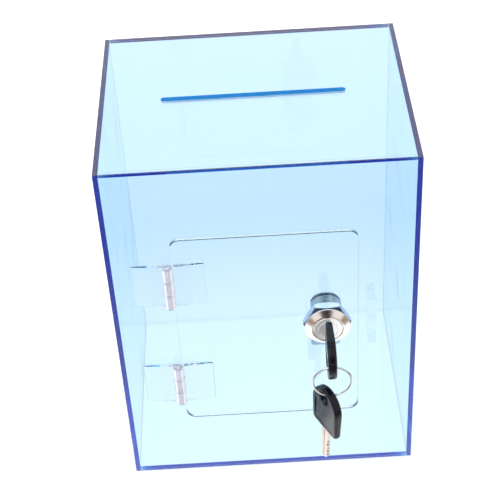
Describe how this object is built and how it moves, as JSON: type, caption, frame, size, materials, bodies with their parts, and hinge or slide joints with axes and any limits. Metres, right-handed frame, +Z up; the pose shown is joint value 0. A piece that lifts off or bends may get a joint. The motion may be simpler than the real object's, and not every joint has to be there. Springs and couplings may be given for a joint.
{
  "type": "donation box",
  "caption": "Clear acrylic collection box with a money slot in the top, a hinged door in the front, a cam lock and keys on a ring.",
  "frame": {"origin": "centre of the underside of the case", "axes": "+Z up, the door and lock face -Y, the hinges are on the -X side"},
  "size_m": [0.15, 0.1581, 0.2],
  "materials": {
    "acrylic": "polished clear acrylic sheet with a light blue tint",
    "hinge_plastic": "clear moulded plastic",
    "pin_nylon": "milky white nylon rod",
    "nickel_plate": "satin nickel plate",
    "zinc_plate": "bright zinc plate",
    "wafer_brass": "stamped brass",
    "black_plastic": "satin black moulded plastic",
    "ring_steel": "bright nickel-plated spring wire"
  },
  "bodies": {
    "case": {"base_panel": "acrylic", "front_panel": "acrylic", "back_panel": "acrylic", "left_panel": "acrylic", "right_panel": "acrylic", "top_panel": "acrylic", "strike_block": "acrylic", "case_leaf_upper": "hinge_plastic", "case_leaf_lower": "hinge_plastic", "hinge_pin_upper": "pin_nylon", "hinge_pin_lower": "pin_nylon"},
    "door": {"door_panel": "acrylic", "door_leaf_upper": "hinge_plastic", "door_leaf_lower": "hinge_plastic", "lock_body": "nickel_plate", "lock_nut": "zinc_plate"},
    "plug": {"lock_plug": "nickel_plate", "wafers": "wafer_brass", "stop_washer": "zinc_plate", "cam": "zinc_plate", "cam_washer": "zinc_plate", "cam_screw": "zinc_plate"},
    "key": {"key_blade": "nickel_plate", "key_head": "black_plastic"},
    "ring": {"key_ring": "ring_steel"},
    "spare_key": {"spare_key_blade": "nickel_plate", "spare_key_head": "black_plastic"}
  },
  "joints": [
    {"name": "door_hinge", "type": "hinge", "parent": "case", "child": "door", "pos_m": [-0.0457, -0.06255, 0.1], "axis": [0, 0, -1], "range_deg": [0, 180]},
    {"name": "lock_turn", "type": "hinge", "parent": "door", "child": "plug", "pos_m": [0.0306, -0.06, 0.1], "axis": [0, -1, 0], "range_deg": [0, 90]},
    {"name": "key_slide", "type": "slide", "parent": "plug", "child": "key", "axis": [0, -1, 0], "range_m": [0, 0.02]},
    {"name": "ring_swing", "type": "hinge", "parent": "key", "child": "ring", "pos_m": [0.0306, -0.088, 0.1], "axis": [-1, 0, 0], "range_deg": [-10, 150]},
    {"name": "spare_swing", "type": "hinge", "parent": "ring", "child": "spare_key", "pos_m": [0.0282, -0.088, 0.07961], "axis": [-0.9672, 0, 0.254], "range_deg": [-12, 90]}
  ]
}
